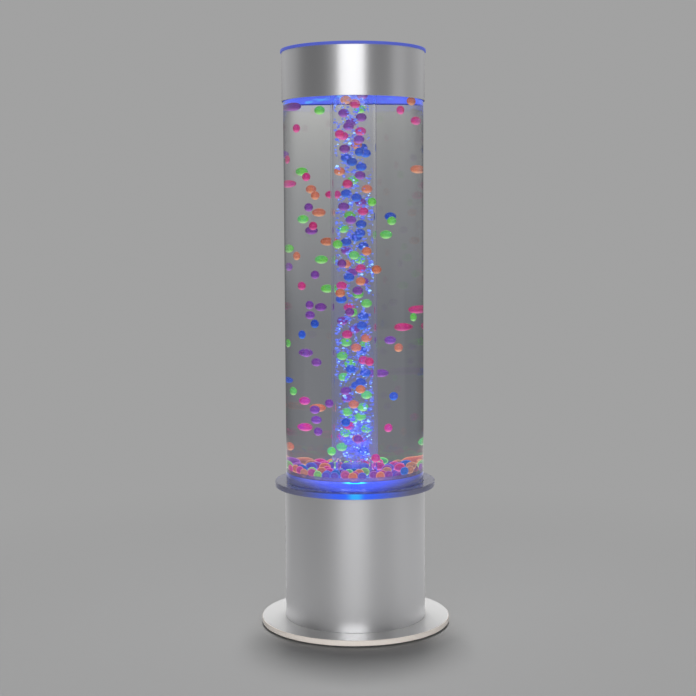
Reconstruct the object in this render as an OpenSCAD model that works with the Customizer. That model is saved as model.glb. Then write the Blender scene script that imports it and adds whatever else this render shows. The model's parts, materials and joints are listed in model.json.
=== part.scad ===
// Bubble tube floor lamp: a water column on a lit plinth, with an air-lift riser that keeps
// coloured beads circulating. Millimetres, +Z up, origin at floor level on the column's axis.
// The back of the lamp, with its power inlet and switch, faces +Y.

/* [Base plate] */
// Diameter of the round base plate
plate_d = 274; // [250:1:320]
// Thickness of the base plate
plate_t = 8; // [7:0.5:12]
// Chamfer on both edges of the base plate
plate_chamfer = 0.8; // [0.4:0.1:1.5]
// Diameter of a rubber foot
foot_d = 22; // [16:1:26]
// Height of a rubber foot
foot_h = 2.5; // [2:0.5:5]
// Distance from the plate's edge to a foot
foot_edge = 8; // [4:1:10]
// Number of feet
foot_count = 4; // [3:1:6]

/* [Housing] */
// Outer diameter of the lower housing
housing_d = 204; // [204:0.5:208]
// Wall of the lower housing
housing_wall = 2; // [1.5:0.1:2.5]
// Height of the lower housing
housing_h = 192; // [185:1:230]
// Thickness of the ring that centres the housing on the base plate
bottom_ring_t = 8; // [6:0.5:12]
// Width of that ring
bottom_ring_w = 22; // [20:1:26]
// Thickness of the ring that carries the column
top_ring_t = 10; // [8:0.5:14]
// Width of the ring that carries the column
top_ring_w = 35; // [33:1:38]

/* [Pillars and screws] */
// Diameter of a pillar between the two rings
pillar_d = 10; // [9:0.5:12]
// Distance from the housing's inner wall to a pillar's axis
pillar_inset = 14; // [13:0.5:15]
// Thread diameter of the frame screws
screw_d = 5; // [4:0.5:5.5]
// Length of the frame screws
screw_l = 18; // [16:1:22]
// Thread diameter of the small screws
small_screw_d = 3; // [2.5:0.5:4]

/* [Flange and floor] */
// Diameter of the clear flange under the column
flange_d = 232; // [220:1:240]
// Thickness of the clear flange
flange_t = 8; // [7:0.5:12]
// Chamfer on both edges of the flange
flange_chamfer = 0.6; // [0.3:0.1:1.5]
// Thickness of the clear floor inside the column
floor_t = 13.5; // [10:0.5:18]
// Height of the seal that runs round the floor
seal_h = 5; // [3:0.5:8]
// Width of the seal that runs round the floor
seal_w = 2.4; // [1.5:0.1:4]

/* [Column] */
// Outer diameter of the water column
tube_d = 200; // [190:1:200]
// Wall of the water column
tube_wall = 5; // [4:0.5:6]
// Length of the water column
tube_l = 600; // [560:5:700]

/* [Riser] */
// Outer diameter of the riser
riser_d = 50; // [48:1:56]
// Wall of the riser
riser_wall = 3; // [2:0.5:3.5]
// Distance from the riser's top end to the column's rim
riser_drop = 36.5; // [30:0.5:40]
// Number of inlet arches round the riser's lower end
arch_count = 6; // [4:1:6]
// Width of an inlet arch
arch_w = 16; // [14:1:17]
// Height of an inlet arch
arch_h = 22; // [18:1:40]
// Height of the spider that centres the riser's top end
spider_h = 8; // [5:0.5:10]
// Number of arms on the spider
spider_arms = 3; // [3:1:5]

/* [Beads] */
// Diameter of a bead
bead_d = 12; // [10:0.5:12.5]
// Seed of the beads' drift
bead_seed = 7; // [1:1:99]

/* [Cap] */
// Outer diameter of the cap
cap_d = 204; // [204:0.5:208]
// Wall of the cap
cap_wall = 1.5; // [1:0.1:1.8]
// Height of the cap's sleeve
cap_h = 68.5; // [60:0.5:90]
// Distance from the column's rim to the top of the cap's sleeve
cap_rise = 13; // [10:0.5:20]
// Thickness of the lid disc
lid_t = 4; // [3:0.5:8]
// Distance that the lid stands out over the sleeve
lid_over = 1.5; // [0.5:0.1:4]
// Thickness of the collar inside the cap
collar_t = 3; // [2:0.5:4]
// Width of the collar inside the cap
collar_w = 24; // [20:1:28]
// Thickness of the pads between the column's rim and the collar
pad_t = 2; // [1:0.5:3]
// Number of pads round the rim
pad_count = 6; // [3:1:8]

/* [Light] */
// Distance from the light board's edge to the ring that carries the column
board_gap = 16.8; // [9:0.1:20]
// Thickness of the light board
board_t = 1.6; // [1:0.1:2]
// Number of lamps on the light board
lamp_count = 8; // [4:1:10]
// Distance from the axis to a lamp
lamp_r = 24; // [22:1:30]
// Diameter of a lamp's lens
lens_d = 13; // [10:0.5:14]
// Distance from the heat sink's edge to a pillar
sink_gap = 7; // [6:0.5:9]
// Thickness of the heat sink's base
sink_t = 4; // [3:0.5:6]
// Height of the heat sink's fins
fin_h = 20; // [10:1:30]
// Thickness of a fin
fin_t = 2; // [1.5:0.1:3]
// Distance from fin to fin
fin_pitch = 8; // [6:0.5:12]

/* [Air line] */
// Thread diameter of the air inlet
inlet_d = 10; // [8:0.5:12]
// Bore of the air inlet
inlet_bore = 4; // [3:0.5:5]
// Inner diameter of the air hose
hose_bore = 5; // [4:0.5:6]
// Wall of the air hose
hose_wall = 1.5; // [1:0.1:2]
// Length of the check valve's body
valve_l = 24; // [18:1:30]
// Diameter of the check valve's body
valve_d = 18; // [14:0.5:20]
// Diameter of the bubble head
head_d = 30; // [26:1:32]
// Height of the bubble head
head_h = 9; // [7:0.5:12]
// Number of jets in the bubble head
jet_count = 12; // [6:1:14]
// Diameter of a jet
jet_d = 1.4; // [1:0.1:2]

/* [Air pump] */
// How much longer than wide the pump is
pump_longer = 28; // [22:1:30]
// Height of the pump's lower case
pump_case_h = 40; // [36:1:60]
// Height of the pump's cover
pump_cover_h = 16; // [12:1:24]
// Distance from the column's axis to the pump's near side
pump_gap = 26; // [24:0.5:26]
// Distance from the pump's far side to the ring on the base plate
pump_edge = 7.8; // [7:0.1:12]
// Height of the pump's rubber feet
pump_foot_h = 6; // [4:0.5:8]

/* [Electrics] */
// How much longer than wide the control board is
pcb_longer = 20; // [16:1:24]
// Distance from the column's axis to the control board's near edge
pcb_gap = 24; // [22:1:25]
// Distance from the control board's far edge to the ring on the base plate
pcb_edge = 11.8; // [10:0.1:15]
// Height of the posts under the control board
post_h = 8; // [6:0.5:12]
// Diameter of the leads
lead_d = 3; // [2:0.5:4]
// Height of the power inlet over the base plate
jack_z = 34; // [30:1:60]
// Thread diameter of the power inlet
jack_d = 12; // [11:0.5:13]
// Distance from the power inlet up to the switch
switch_rise = 40; // [32:1:70]
// Height of the switch's frame
switch_h = 21; // [20:0.5:24]
// Width of the switch's frame
switch_w = 15; // [14:0.5:17]
// Angle that the rocker leans from its middle position
rocker_lean = 8; // [5:1:10]

/* [Hidden] */
$fn = 96;

// Clearances
bond_gap = 0.1;      // glue line round a bonded piece
slide_gap = 0.2;     // between pieces that are pushed over each other
screw_gap = 0.1;     // round a screw's thread
bead_gap = 0.4;      // round a bead
pivot_gap = 0.06;    // round the rocker's pins
cut = 1;             // how far a cut runs past a face

// Levels, from the floor up
plate_z = foot_h;
plate_top = plate_z + plate_t;
housing_top = plate_top + housing_h;
top_ring_z = housing_top - top_ring_t;
flange_z = housing_top;
flange_top = flange_z + flange_t;
floor_top = flange_top + floor_t;
tube_top = flange_top + tube_l;
riser_top = tube_top - riser_drop;
cap_top = tube_top + cap_rise;
cap_z = cap_top - cap_h;
collar_z = tube_top + pad_t;

// Radii
housing_in = housing_d / 2 - housing_wall;
ring_r = housing_in - slide_gap;
top_ring_in = ring_r - top_ring_w;
bottom_ring_in = ring_r - bottom_ring_w;
pillar_r = housing_in - pillar_inset;
tube_r = tube_d / 2;
tube_in = tube_r - tube_wall;
riser_r = riser_d / 2;
riser_in = riser_r - riser_wall;
cap_in = cap_d / 2 - cap_wall;
foot_r = plate_d / 2 - foot_edge - foot_d / 2;
hose_d = hose_bore + 2 * hose_wall;

// What stands inside the housing takes its size from the room that the rings and pillars leave
sink_d = 2 * (pillar_r - pillar_d / 2 - sink_gap);
board_d = 2 * (top_ring_in - board_gap);
pump_w = bottom_ring_in - pump_edge - pump_gap;
pump_l = pump_w + pump_longer;
pcb_w = bottom_ring_in - pcb_edge - pcb_gap;
pcb_l = pcb_w + pcb_longer;

// Screws
head_ratio = 1.9;                            // head over thread
pillar_count = 4;
pillar_turn = 45;
flange_screw_count = 6;
flange_screw_d = 4;
flange_screw_r = sink_d / 2 + flange_screw_d * head_ratio / 2 + 1;
flange_screw_up = flange_t - 2;
sink_screw_r = top_ring_in + 6;

module at_ring(count, radius, turn = 0) {
    for (i = [0 : count - 1])
        rotate([0, 0, turn + i * 360 / count]) translate([radius, 0, 0]) children();
}

// A flat ring or disc with both outer edges chamfered
module plate_ring(outer, inner, height, chamfer) {
    rotate_extrude($fn = 180) polygon([
        [inner, 0], [outer - chamfer, 0], [outer, chamfer], [outer, height - chamfer],
        [outer - chamfer, height], [inner, height]
    ]);
}

// A pipe along +Z
module pipe(outer, inner, height) {
    difference() {
        cylinder(r = outer, h = height);
        translate([0, 0, -cut]) cylinder(r = inner, h = height + 2 * cut);
    }
}

// A countersunk screw that hangs from its head's flat face at z = 0, thread downwards
module sunk_screw(d, length) {
    head = d * head_ratio;
    sink = (head - d) / 2;
    difference() {
        union() {
            translate([0, 0, -sink]) cylinder(d1 = d, d2 = head, h = sink, $fn = 48);
            translate([0, 0, -length]) cylinder(d = d, h = length - sink, $fn = 48);
        }
        translate([0, 0, -d / 2]) cylinder(d = d * 0.62, h = d, $fn = 6);
    }
}

// The room that a countersunk screw needs
module sunk_hole(d, length) {
    head = d * head_ratio + 2 * screw_gap;
    bore = d + 2 * screw_gap;
    sink = (head - bore) / 2;
    translate([0, 0, -sink]) cylinder(d1 = bore, d2 = head, h = sink, $fn = 48);
    translate([0, 0, -length - cut]) cylinder(d = bore, h = length + cut, $fn = 48);
}

// A round-headed screw with its head below z = 0 and its thread upwards
module pan_screw(d, length) {
    difference() {
        union() {
            cylinder(d = d, h = length, $fn = 48);
            translate([0, 0, -d * 0.6]) cylinder(d1 = d * 1.5, d2 = d * head_ratio, h = d * 0.6, $fn = 48);
        }
        translate([0, 0, -d * 0.6 - cut]) cylinder(d = d * 0.6, h = d * 0.4 + cut, $fn = 6);
    }
}

// A box with round vertical edges, standing on z = 0 round the axis
module round_box(x, y, height, r) {
    linear_extrude(height) {
        square([x - 2 * r, y], center = true);
        square([x, y - 2 * r], center = true);
        for (i = [-1, 1], j = [-1, 1]) translate([i * (x / 2 - r), j * (y / 2 - r)]) circle(r = r, $fn = 32);
    }
}

// Points on a cubic curve and its direction there
function curve(p, t) = p[0] * pow(1 - t, 3) + p[1] * 3 * t * pow(1 - t, 2)
    + p[2] * 3 * t * t * (1 - t) + p[3] * pow(t, 3);
function slope(p, t) = (p[1] - p[0]) * pow(1 - t, 2) + (p[2] - p[1]) * 2 * t * (1 - t)
    + (p[3] - p[2]) * t * t;
function unit(v) = v / norm(v);

// A lead swept along a cubic curve; aside is a direction that the curve never takes
module swept(p, d, aside, rings = 20, sides = 8) {
    ring = [for (i = [0 : rings])
        let (t = i / rings, f = unit(slope(p, t)), u = unit(cross(f, aside)), v = cross(f, u))
        for (k = [0 : sides - 1])
            curve(p, t) + (u * cos(k * 360 / sides) + v * sin(k * 360 / sides)) * d / 2];
    last = rings * sides;
    sheath = [for (i = [0 : rings - 1], k = [0 : sides - 1])
        let (a = i * sides + k, b = i * sides + (k + 1) % sides)
        each [[a, b, b + sides], [a, b + sides, a + sides]]];
    ends = [[for (k = [0 : sides - 1]) sides - 1 - k], [for (k = [0 : sides - 1]) last + k]];
    polyhedron(ring, concat(sheath, ends));
}

// ---- Stand -------------------------------------------------------------------------------

module rubber_feet() {
    color("dimgray") at_ring(foot_count, foot_r, 180 / foot_count)
        cylinder(d1 = foot_d - 2, d2 = foot_d, h = foot_h, $fn = 64);
}

module base_plate() {
    color("white") difference() {
        translate([0, 0, plate_z]) plate_ring(plate_d / 2, 0, plate_t, plate_chamfer);
        at_ring(pillar_count, pillar_r, pillar_turn) plate_hole();
        at_ring(pillar_count, pillar_r) plate_hole();
        for (i = [-1, 1]) translate([i * strap_screw_x, pump_y, 0]) strap_hole();
    }
}

module plate_hole() {
    translate([0, 0, plate_z]) rotate([180, 0, 0]) sunk_hole(screw_d, screw_l);
}

module strap_hole() {
    translate([0, 0, plate_top - strap_screw_in - 0.5])
        cylinder(d = small_screw_d + 2 * screw_gap, h = strap_screw_in + cut, $fn = 48);
}

// Four screws hold the pillars and four more hold the ring
module plate_screws() {
    color("silver") at_ring(2 * pillar_count, pillar_r)
        translate([0, 0, plate_z]) rotate([180, 0, 0]) sunk_screw(screw_d, screw_l);
}

ring_screw_room = screw_l - plate_t + 1;
ring_chamfer = 0.5;
sleeve_edge = 0.4;

module bottom_ring() {
    color("gainsboro") difference() {
        translate([0, 0, plate_top]) plate_ring(ring_r, bottom_ring_in, bottom_ring_h, ring_chamfer);
        at_ring(pillar_count, pillar_r) translate([0, 0, plate_top - cut])
            cylinder(d = screw_d + 2 * screw_gap, h = ring_screw_room + cut, $fn = 48);
        at_ring(pillar_count, pillar_r, pillar_turn) translate([0, 0, plate_top - cut])
            cylinder(d = pillar_d + 2 * slide_gap, h = bottom_ring_h + 2 * cut, $fn = 64);
    }
}

// The ring is at least as thick as its screws reach
bottom_ring_h = max(bottom_ring_t, ring_screw_room + 1.5);

module frame_pillars() {
    length = top_ring_z - plate_top;
    color("silver") at_ring(pillar_count, pillar_r, pillar_turn) translate([0, 0, plate_top]) difference() {
        cylinder(d = pillar_d, h = length, $fn = 64);
        for (z = [-cut, length - screw_l]) translate([0, 0, z])
            cylinder(d = screw_d + 2 * screw_gap, h = screw_l + cut, $fn = 48);
    }
}

module housing_sleeve() {
    color("silver") difference() {
        translate([0, 0, plate_top]) rotate_extrude($fn = 180) polygon([
            [housing_in, 0], [housing_d / 2 - sleeve_edge, 0], [housing_d / 2, sleeve_edge],
            [housing_d / 2, housing_h - sleeve_edge], [housing_d / 2 - sleeve_edge, housing_h],
            [housing_in, housing_h]
        ]);
        at_back(jack_level) translate([0, 0, -2 * housing_wall - 2])
            cylinder(d = jack_d + 2 * slide_gap, h = 3 * housing_wall + 4, $fn = 64);
        at_back(switch_level) translate([0, 0, -housing_wall])
            cube([switch_in_w + 2 * slide_gap, switch_in_h + 2 * slide_gap, 4 * housing_wall + 4],
                center = true);
    }
}

module top_ring() {
    color("gainsboro") difference() {
        translate([0, 0, top_ring_z]) plate_ring(ring_r, top_ring_in, top_ring_t, ring_chamfer);
        at_ring(pillar_count, pillar_r, pillar_turn) translate([0, 0, housing_top])
            sunk_hole(screw_d, top_ring_t);
        at_ring(flange_screw_count, flange_screw_r) translate([0, 0, top_ring_z - cut])
            cylinder(d = flange_screw_d + 2 * screw_gap, h = top_ring_t + 2 * cut, $fn = 48);
        at_ring(flange_screw_count, sink_screw_r, sink_turn) translate([0, 0, top_ring_z - cut])
            cylinder(d = small_screw_d + 2 * screw_gap, h = sink_screw_in + 0.5 + cut, $fn = 48);
    }
}

module ring_screws() {
    color("silver") at_ring(pillar_count, pillar_r, pillar_turn)
        translate([0, 0, housing_top]) sunk_screw(screw_d, top_ring_t + screw_l - 4);
}

module flange_screws() {
    color("silver") at_ring(flange_screw_count, flange_screw_r)
        translate([0, 0, top_ring_z]) pan_screw(flange_screw_d, top_ring_t + flange_screw_up - 0.5);
}

// ---- Flange, floor and column ------------------------------------------------------------

module clear_flange() {
    color("lightblue", 0.6) difference() {
        translate([0, 0, flange_z]) plate_ring(flange_d / 2, 0, flange_t, flange_chamfer);
        translate([0, 0, flange_z - cut])
            cylinder(d = inlet_d + 2 * slide_gap, h = flange_t + 2 * cut, $fn = 64);
        at_ring(flange_screw_count, flange_screw_r) translate([0, 0, flange_z - cut])
            cylinder(d = flange_screw_d + 2 * screw_gap, h = flange_screw_up + cut, $fn = 48);
    }
}

module floor_disc() {
    color("lightblue", 0.6) translate([0, 0, flange_top]) difference() {
        cylinder(r = tube_in - bond_gap, h = floor_t, $fn = 180);
        translate([0, 0, -cut]) cylinder(d = inlet_d + 2 * slide_gap, h = floor_t + 2 * cut, $fn = 64);
    }
}

module floor_seal() {
    color("slategray") translate([0, 0, floor_top]) rotate_extrude($fn = 180) polygon([
        [tube_in - bond_gap - seal_w, 0], [tube_in - bond_gap, 0], [tube_in - bond_gap, seal_h],
        [tube_in - bond_gap - seal_w / 2, seal_h], [tube_in - bond_gap - seal_w, seal_h / 2]
    ]);
}

module water_column() {
    rim = 0.6;
    color("azure", 0.3) translate([0, 0, flange_top]) rotate_extrude($fn = 180) polygon([
        [tube_in, 0], [tube_r, 0], [tube_r, tube_l - rim], [tube_r - rim, tube_l],
        [tube_in + rim, tube_l], [tube_in, tube_l - rim]
    ]);
}

// ---- Riser -------------------------------------------------------------------------------

riser_foot_h = 3;

module riser_foot() {
    color("azure", 0.4) translate([0, 0, floor_top])
        pipe(riser_in - slide_gap, riser_in - slide_gap - 5, riser_foot_h);
}

module riser_tube() {
    color("azure", 0.3) difference() {
        translate([0, 0, floor_top]) pipe(riser_r, riser_in, riser_top - floor_top);
        at_ring(arch_count, 0) arch();
    }
}

// One arch through the riser's wall, open at the floor and round at the top
module arch() {
    translate([0, -arch_w / 2, floor_top - cut]) cube([riser_d, arch_w, arch_h - arch_w / 2 + cut]);
    translate([0, 0, floor_top + arch_h - arch_w / 2]) rotate([0, 90, 0])
        cylinder(d = arch_w, h = riser_d, $fn = 64);
}

module riser_spider() {
    hub = riser_r + slide_gap;
    reach = tube_in - slide_gap;
    color("azure", 0.4) translate([0, 0, riser_top - spider_h]) difference() {
        union() {
            cylinder(r = hub + 3.5, h = spider_h);
            intersection() {
                cylinder(r = reach, h = spider_h, $fn = 180);
                at_ring(spider_arms, 0, 90) spider_arm(reach);
            }
        }
        translate([0, 0, -cut]) cylinder(r = hub, h = spider_h + 2 * cut);
    }
}

module spider_arm(reach) {
    arm_w = 5;
    shoe_w = 16;
    translate([0, -arm_w / 2, 0]) cube([reach + cut, arm_w, spider_h]);
    translate([reach - 4, -shoe_w / 2, 0]) cube([4 + cut, shoe_w, spider_h]);
}

// ---- Air line ----------------------------------------------------------------------------

inlet_r = inlet_d / 2;
shoulder_r = inlet_r + 4;
shoulder_t = 3.5;
washer_t = 1;
nut_t = 4;
inlet_nut_top = washer_t + nut_t;
barb_l = 16;
shoulder_z = flange_z - washer_t - shoulder_t;
inlet_low = shoulder_z - barb_l;
thread_top = floor_top + inlet_nut_top + head_h / 2;

// Shoulder below the flange, thread up through both clear discs, barb down into the hose
module air_inlet() {
    color("goldenrod") difference() {
        union() {
            translate([0, 0, shoulder_z]) cylinder(r = shoulder_r, h = shoulder_t, $fn = 6);
            translate([0, 0, shoulder_z]) cylinder(r = inlet_r, h = thread_top - shoulder_z, $fn = 64);
            translate([0, 0, inlet_low]) barb(barb_l);
        }
        translate([0, 0, inlet_low - cut])
            cylinder(d = inlet_bore, h = thread_top - inlet_low + 2 * cut, $fn = 48);
    }
}

// A hose barb along +Z; its ridges stay just inside the hose
module barb(length) {
    ridge = hose_bore / 2 - 0.05;
    neck = ridge - 0.3;
    ridges = floor(length / 4);
    cylinder(r = neck, h = length, $fn = 48);
    for (i = [0 : ridges - 1]) translate([0, 0, i * 4]) cylinder(r1 = neck, r2 = ridge, h = 3, $fn = 48);
}

module inlet_seals() {
    color("dimgray") for (z = [flange_z - washer_t, floor_top]) translate([0, 0, z])
        pipe(shoulder_r - 0.8, inlet_r + screw_gap, washer_t);
}

module inlet_nut() {
    color("goldenrod") translate([0, 0, floor_top + washer_t]) difference() {
        cylinder(r = shoulder_r + 0.5, h = nut_t, $fn = 6);
        translate([0, 0, -cut]) cylinder(r = inlet_r + screw_gap, h = nut_t + 2 * cut, $fn = 64);
    }
}

// A hollow head that screws onto the inlet and lets the air out through a ring of jets
module bubble_head() {
    skin = 1.6;
    z = floor_top + inlet_nut_top;
    chamber_z = thread_top - z;
    color("lightgray") translate([0, 0, z]) difference() {
        rotate_extrude() polygon([
            [0, 0], [head_d / 2 - 3, 0], [head_d / 2, 3], [head_d / 2, head_h - 2],
            [head_d / 2 - 2, head_h], [0, head_h]
        ]);
        translate([0, 0, -cut]) cylinder(r = inlet_r + screw_gap, h = chamber_z + 2 * cut, $fn = 64);
        translate([0, 0, chamber_z]) cylinder(r = head_d / 2 - 2 - skin, h = head_h - chamber_z - skin);
        at_ring(jet_count, head_d * 0.3) translate([0, 0, head_h - skin - cut])
            cylinder(d = jet_d, h = skin + 2 * cut, $fn = 16);
    }
}

valve_barb = 8;
valve_top = inlet_low - valve_barb - 2;
valve_z = valve_top - valve_l;
outlet_z = plate_top + pump_foot_h + pump_case_h * 0.6;
outlet_shoulder = 1.5;
outlet_run = 9;
bend_r = pump_gap - outlet_shoulder - outlet_run;
hose_fit = 10;

module hose(length) {
    pipe(hose_d / 2, hose_bore / 2, length);
}

// Straight up from the check valve's barb to the air inlet's
module upper_hose() {
    color("whitesmoke", 0.7) translate([0, 0, valve_top]) hose(inlet_low + hose_fit - valve_top);
}

// Out of the pump, round a bend and up to the check valve
module lower_hose() {
    color("whitesmoke", 0.7) {
        translate([0, -bend_r - outlet_run, outlet_z]) rotate([-90, 0, 0]) hose(outlet_run);
        translate([0, -bend_r, outlet_z]) bend();
        translate([0, 0, outlet_z + bend_r]) hose(valve_z - outlet_z - bend_r);
    }
}

// A quarter turn in the YZ plane, from the axis of +Y round to +Z
module bend() {
    translate([0, 0, bend_r]) rotate([0, 90, 0]) rotate_extrude(angle = 90)
        translate([bend_r, 0]) difference() {
            circle(d = hose_d, $fn = 48);
            circle(d = hose_bore, $fn = 48);
        }
}

// Two barbed halves screwed together, with grip ribs round the joint
module check_valve() {
    color("white") difference() {
        union() {
            translate([0, 0, valve_z]) rotate_extrude() polygon([
                [0, 0], [valve_d / 2 - 3, 0], [valve_d / 2 - 1, 3], [valve_d / 2 - 1, valve_l - 3],
                [valve_d / 2 - 3, valve_l], [0, valve_l]
            ]);
            translate([0, 0, valve_z + valve_l * 0.4])
                at_ring(16, valve_d / 2 - 1) cylinder(r = 1, h = valve_l * 0.2, $fn = 16);
            translate([0, 0, valve_top]) barb(valve_barb);
            translate([0, 0, valve_z]) rotate([180, 0, 0]) barb(valve_barb);
        }
        translate([0, 0, valve_z - valve_barb - cut])
            cylinder(d = hose_bore - 2.4, h = valve_l + 2 * (valve_barb + cut), $fn = 32);
    }
}

// ---- Beads -------------------------------------------------------------------------------

// Successive beads turn by the golden angle, which keeps neighbours apart at any height
golden = 137.508;

// Beads that rise inside the riser, counted down from its top end
rise_step = bead_d * 0.52;
rise_low = floor_top + inlet_nut_top + head_h + bead_d / 2 + 2;
rise_high = riser_top - bead_d;
rise_count = floor((rise_high - rise_low) / rise_step);
rise_in = bead_d * 0.68;
rise_out = riser_in - bead_d / 2 - bead_gap;
rise_r = rands(rise_in, max(rise_out, rise_in), rise_count, bead_seed);
rise_jitter = rands(-0.03, 0.03, rise_count, bead_seed + 1);
rising = [for (i = [0 : rise_count - 1])
    [rise_r[i] * cos(golden * i), rise_r[i] * sin(golden * i),
     rise_high - (i + rise_jitter[i]) * rise_step]];

// Beads that sink between the riser and the column, most of them on the left and at the back,
// counted down from the spider
sink_step = bead_d * 0.27;
sink_low = floor_top + 2 * bead_d + bead_gap;
sink_high = riser_top - spider_h - bead_d;
sink_count = floor((sink_high - sink_low) / sink_step);
fall_in = riser_r + bead_d / 2 + bead_gap;
fall_out = tube_in - bead_d / 2 - bead_gap;
fall_r = rands(0, 1, sink_count, bead_seed + 2);
fall_turn = rands(-12, 12, sink_count, bead_seed + 3);
fall_keep = rands(0, 1, sink_count, bead_seed + 4);
function fall_share(a) = 0.52 - 0.34 * cos(a - 20);
sinking = [for (i = [0 : sink_count - 1])
    let (a = golden * i + fall_turn[i], r = fall_in + (fall_out - fall_in) * sqrt(fall_r[i]))
    if (fall_keep[i] < fall_share(a)) [r * cos(a), r * sin(a), sink_high - i * sink_step]];

// Beads that lie on the floor in rings, with some places left empty
lie_out = tube_in - bond_gap - seal_w - bead_d / 2 - bead_gap;
lie_step = bead_d + bead_gap;
lie_rings = floor((lie_out - fall_in) / lie_step);
function lie_places(r) = floor(180 / asin(lie_step / 2 / r));
lie_keep = rands(0, 1, 400, bead_seed + 5);
lying = [for (k = [0 : lie_rings])
    let (r = lie_out - k * lie_step, n = lie_places(r))
    for (i = [0 : n - 1])
        if (lie_keep[k * 60 + i] < 0.42)
            [r * cos(i * 360 / n + k * 7), r * sin(i * 360 / n + k * 7), floor_top + bead_d / 2 + 0.05]];

// Each group draws its own colours, so that one group's number leaves the others as they are
bead_groups = [rising, sinking, lying];
bead_kinds = [for (g = [0 : 2]) rands(0, 5, len(bead_groups[g]), bead_seed + 6 + g)];

module bead_set(kind) {
    for (g = [0 : 2], i = [0 : len(bead_groups[g]) - 1])
        if (floor(bead_kinds[g][i]) == kind)
            translate(bead_groups[g][i]) sphere(d = bead_d, $fn = 32);
}

module green_beads() { color("limegreen") bead_set(0); }
module pink_beads() { color("deeppink") bead_set(1); }
module blue_beads() { color("royalblue") bead_set(2); }
module purple_beads() { color("mediumpurple") bead_set(3); }
module orange_beads() { color("salmon") bead_set(4); }

// ---- Air pump ----------------------------------------------------------------------------

pump_y = -pump_gap - pump_w / 2;
pump_z = plate_top + pump_foot_h;
pump_top = pump_z + pump_case_h + pump_cover_h;
pump_corner = 9;
pump_rim = 4;
pump_foot_d = 12;
pump_knob_d = 16;
pump_knob_in = 18;

module pump_feet() {
    foot_in = pump_foot_d / 2 + 5;
    color("dimgray") translate([0, pump_y, plate_top])
        for (i = [-1, 1], j = [-1, 1])
            translate([i * (pump_l / 2 - foot_in - 1), j * (pump_w / 2 - foot_in), 0])
                cylinder(d1 = pump_foot_d, d2 = pump_foot_d - 3, h = pump_foot_h, $fn = 48);
}

module pump_case() {
    color("darkslategray") translate([0, pump_y, pump_z]) difference() {
        union() {
            round_box(pump_l, pump_w, pump_case_h, pump_corner);
            translate([0, 0, pump_case_h - pump_rim])
                round_box(pump_l + 2, pump_w + 2, pump_rim, pump_corner + 1);
        }
        for (i = [-3 : 3]) translate([i * pump_l / 9, -pump_w / 2 - cut, pump_case_h * 0.3])
            cube([3, 1.5 + cut, pump_case_h * 0.4]);
    }
}

module pump_cover() {
    color("slategray") translate([0, pump_y, pump_z + pump_case_h]) difference() {
        union() {
            round_box(pump_l, pump_w, pump_cover_h * 0.6, pump_corner);
            round_box(pump_l - 8, pump_w - 8, pump_cover_h, pump_corner - 4);
        }
        translate([pump_l / 2 - pump_knob_in, 0, pump_cover_h - 3])
            cylinder(d = pump_knob_d, h = 3 + cut, $fn = 64);
    }
}

// A shoulder against the case and a barb that the hose is pushed onto
module pump_outlet() {
    color("white") translate([0, -pump_gap, outlet_z]) rotate([-90, 0, 0]) {
        cylinder(d = hose_d + 2, h = outlet_shoulder, $fn = 48);
        translate([0, 0, outlet_shoulder]) barb(8);
    }
}

strap_w = 18;
strap_t = 1.5;
strap_tab = 12;
strap_in_x = pump_l / 2 + 1 + slide_gap;
strap_out_x = strap_in_x + strap_t;
strap_screw_x = strap_out_x + strap_tab / 2;
strap_screw_in = 5;

// A bent strap over the pump, with a screwed tab on each side
module pump_strap() {
    top = pump_top + slide_gap - plate_top;
    color("silver") translate([0, pump_y, plate_top]) difference() {
        translate([0, strap_w / 2, 0]) rotate([90, 0, 0]) linear_extrude(strap_w) difference() {
            union() {
                translate([-strap_out_x, 0]) square([2 * strap_out_x, top + strap_t]);
                translate([-strap_out_x - strap_tab, 0]) square([2 * (strap_out_x + strap_tab), strap_t]);
            }
            translate([-strap_in_x, -cut]) square([2 * strap_in_x, top + cut]);
        }
        for (i = [-1, 1]) translate([i * strap_screw_x, 0, -cut])
            cylinder(d = small_screw_d + 2 * screw_gap, h = strap_t + 2 * cut, $fn = 48);
    }
}

module strap_screws() {
    color("silver") for (i = [-1, 1]) translate([i * strap_screw_x, pump_y, plate_top + strap_t])
        rotate([180, 0, 0]) pan_screw(small_screw_d, strap_t + strap_screw_in);
}

// ---- Light -------------------------------------------------------------------------------

sink_z = top_ring_z - sink_t;
board_z = top_ring_z;
board_hole = shoulder_r + 3;
chip_t = 1.2;
lens_h = flange_z - board_z - board_t - chip_t - 0.4;
sink_turn = 30;
sink_screw_in = 6;
light_lead_x = -board_d * 0.354;
light_lead_y = board_d * 0.3125;

module light_board() {
    color("white") translate([0, 0, board_z]) pipe(board_d / 2, board_hole, board_t);
}

module lamp_chips() {
    color("gold") at_ring(lamp_count, lamp_r, 270)
        translate([-1.8, -1.8, board_z + board_t]) cube([3.6, 3.6, chip_t]);
}

// Collimators, narrow over the chip and wide under the flange
module lamp_lenses() {
    color("lightcyan", 0.7) at_ring(lamp_count, lamp_r, 270)
        translate([0, 0, board_z + board_t + chip_t])
            cylinder(d1 = lens_d * 0.5, d2 = lens_d, h = lens_h, $fn = 64);
}

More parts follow.
